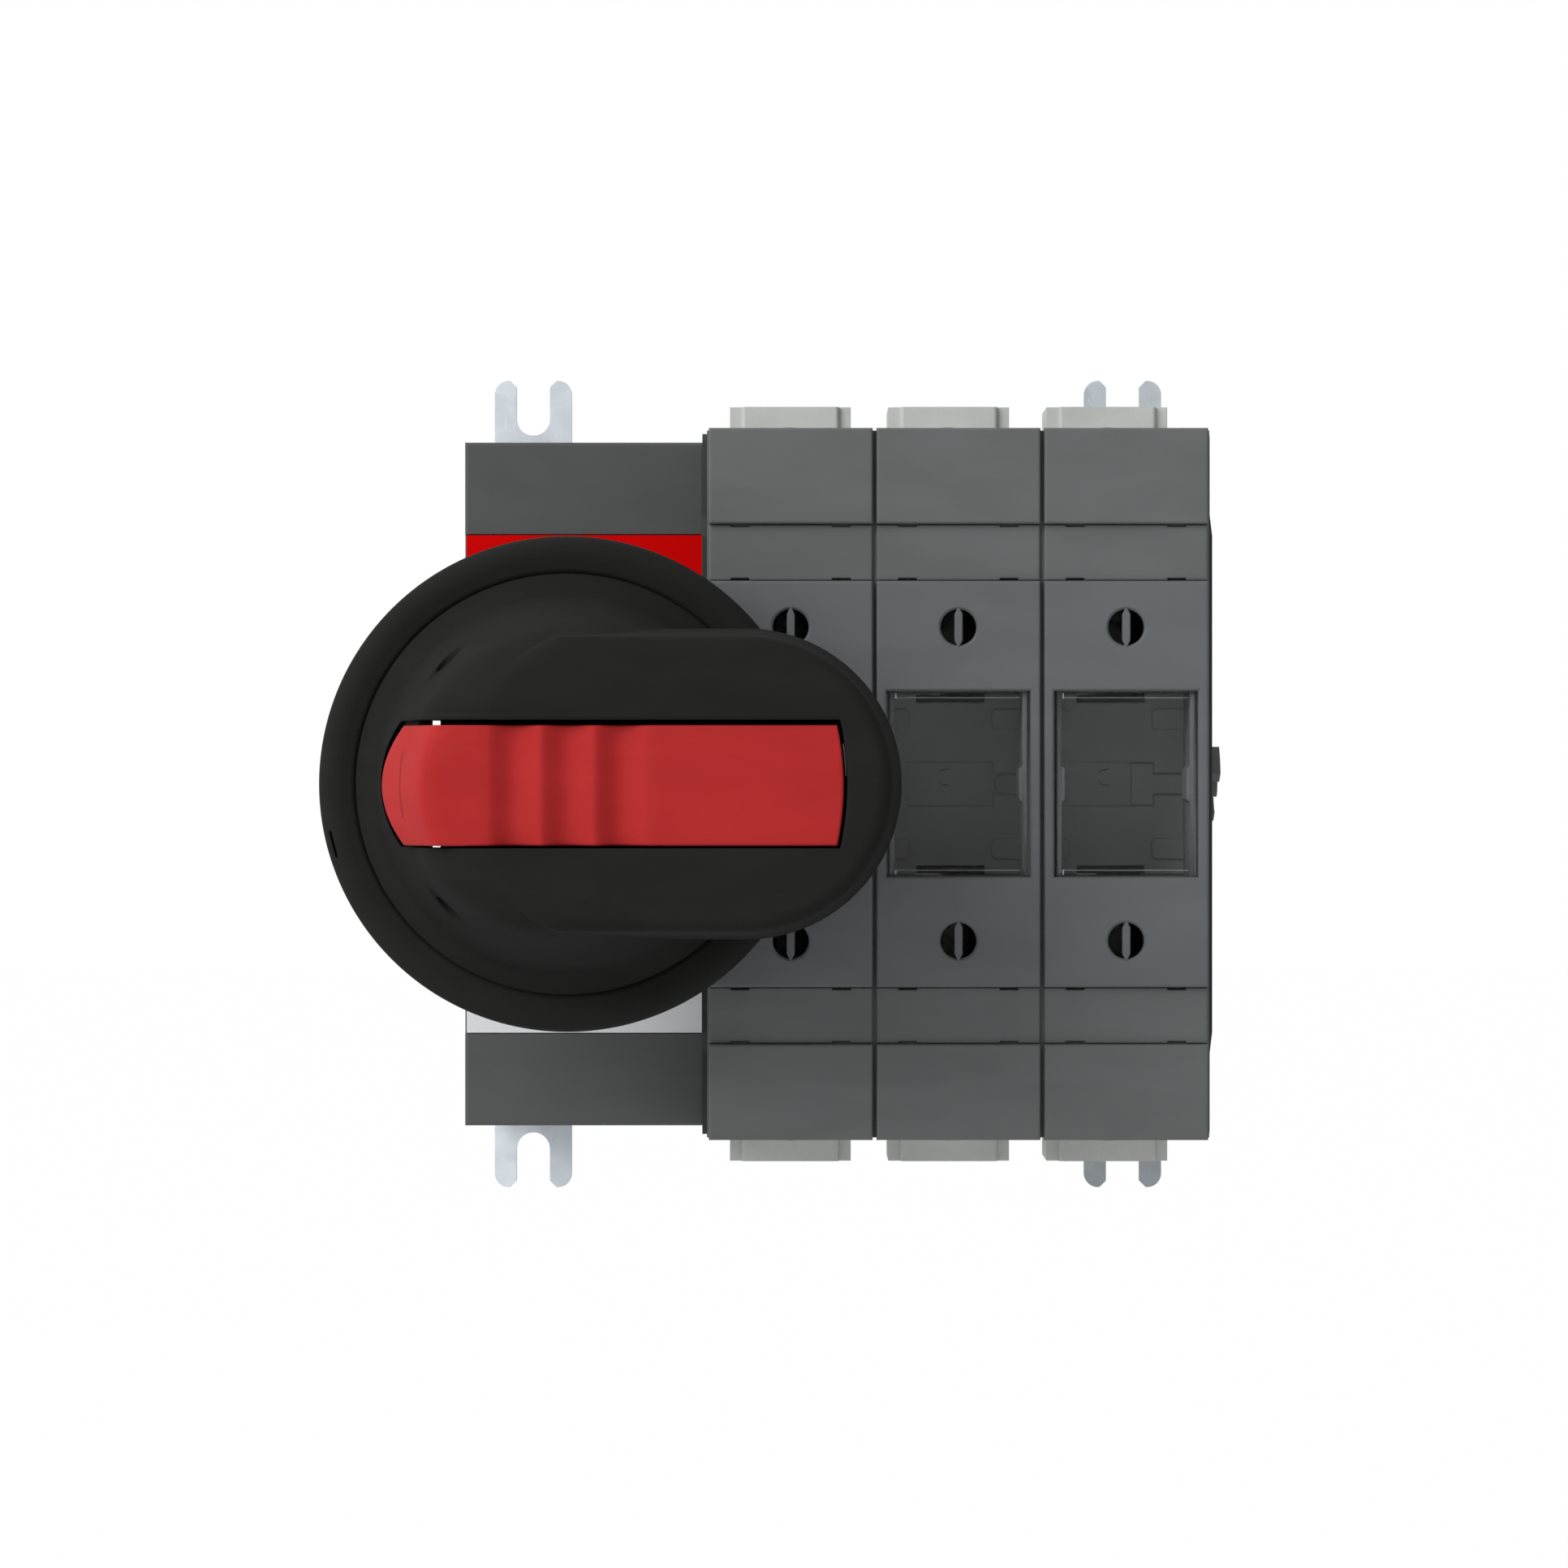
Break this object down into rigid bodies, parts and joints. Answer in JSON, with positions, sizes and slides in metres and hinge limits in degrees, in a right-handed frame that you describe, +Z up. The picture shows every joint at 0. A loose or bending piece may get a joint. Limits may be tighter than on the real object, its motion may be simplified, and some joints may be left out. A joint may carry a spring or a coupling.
{
  "type": "fuse switch disconnector",
  "caption": "Front-operated fuse switch disconnector with a padlockable pistol handle, lift-off fuse covers with clear windows, terminal shrouds and slotted steel feet.",
  "frame": {"origin": "middle of the four fixing slots, on the plane that meets the mounting panel", "axes": "+Y into the panel, +Z up, +X to the right as seen from the front"},
  "size_m": [0.1925, 0.185, 0.1872],
  "materials": {
    "dark_plastic": "fine matt moulded surface, dark grey",
    "light_plastic": "fine matt moulded surface, light grey",
    "black_plastic": "fine matt moulded surface, black",
    "red_plastic": "satin moulded surface, red",
    "red_label": "flat red field, bare",
    "panel_plastic": "light grey, smooth",
    "clear_plastic": "clear, lightly smoked",
    "zinc_steel": "bright zinc plating",
    "bright_steel": "bright steel",
    "spring_steel": "spring steel",
    "tinned_copper": "tin-plated copper",
    "silvered_copper": "silver-plated copper",
    "seal_rubber": "foam rubber"
  },
  "bodies": {
    "frame": {"mounting_strap_left": "zinc_steel", "mounting_strap_right": "zinc_steel", "strap_screws": "zinc_steel", "mechanism_housing": "dark_plastic", "mechanism_cover": "dark_plastic", "front_panel": "panel_plastic", "front_label": "red_label", "snap_springs": "spring_steel", "end_plate_left": "dark_plastic", "end_plate_right": "dark_plastic", "tie_rods": "zinc_steel", "terminal_bolts": "zinc_steel", "terminal_nuts": "zinc_steel", "jaw_springs": "spring_steel", "handle_collar": "black_plastic", "collar_seal": "seal_rubber", "pole_base_1": "light_plastic", "pole_housing_1": "dark_plastic", "terminal_cover_top_1": "dark_plastic", "terminal_bar_top_1": "tinned_copper", "fuse_jaw_top_1": "silvered_copper", "terminal_cover_bottom_1": "dark_plastic", "terminal_bar_bottom_1": "tinned_copper", "fuse_jaw_bottom_1": "silvered_copper", "pole_base_2": "light_plastic", "pole_housing_2": "dark_plastic", "terminal_cover_top_2": "dark_plastic", "terminal_bar_top_2": "tinned_copper", "fuse_jaw_top_2": "silvered_copper", "terminal_cover_bottom_2": "dark_plastic", "terminal_bar_bottom_2": "tinned_copper", "fuse_jaw_bottom_2": "silvered_copper", "pole_base_3": "light_plastic", "pole_housing_3": "dark_plastic", "terminal_cover_top_3": "dark_plastic", "terminal_bar_top_3": "tinned_copper", "fuse_jaw_top_3": "silvered_copper", "terminal_cover_bottom_3": "dark_plastic", "terminal_bar_bottom_3": "tinned_copper", "fuse_jaw_bottom_3": "silvered_copper"},
    "handle": {"handle_grip": "black_plastic", "handle_shaft": "zinc_steel", "disc_retainer": "black_plastic", "lock_spring": "spring_steel", "spindle_hub": "bright_steel"},
    "lock": {"lock_slide": "red_plastic"},
    "cross_drive": {"cross_shaft": "bright_steel", "drive_fork": "bright_steel", "shaft_coupler": "light_plastic", "moving_contacts": "silvered_copper", "contact_rotor_1": "light_plastic", "contact_rotor_2": "light_plastic", "contact_rotor_3": "light_plastic"},
    "interlock": {"interlock_slide": "dark_plastic"},
    "cover_1": {"fuse_cover_1": "dark_plastic", "fuse_window_1": "clear_plastic"},
    "cover_2": {"fuse_cover_2": "dark_plastic", "fuse_window_2": "clear_plastic"},
    "cover_3": {"fuse_cover_3": "dark_plastic", "fuse_window_3": "clear_plastic"}
  },
  "joints": [
    {"name": "handle_turn", "type": "hinge", "parent": "frame", "child": "handle", "pos_m": [-0.0544, -0.06, 0], "axis": [0, -1, 0], "range_deg": [0, 90]},
    {"name": "lock_pull", "type": "slide", "parent": "handle", "child": "lock", "axis": [-1, 0, 0], "range_m": [0, 0.013]},
    {"name": "cross_turn", "type": "hinge", "parent": "frame", "child": "cross_drive", "pos_m": [0, -0.03, 0], "axis": [-1, 0, 0], "range_deg": [0, 58.99]},
    {"name": "cover_1_lift", "type": "slide", "parent": "frame", "child": "cover_1", "axis": [0, -1, 0], "range_m": [0, 0.017]},
    {"name": "cover_2_lift", "type": "slide", "parent": "frame", "child": "cover_2", "axis": [0, -1, 0], "range_m": [0, 0.03]},
    {"name": "cover_3_lift", "type": "slide", "parent": "frame", "child": "cover_3", "axis": [0, -1, 0], "range_m": [0, 0.06]},
    {"name": "interlock_move", "type": "slide", "parent": "frame", "child": "interlock", "axis": [-1, 0, 0], "range_m": [0, 0.005]}
  ],
  "couplings": [
    {"joint": "cross_turn", "follows": "handle_turn", "ratio": 0.65547}
  ]
}
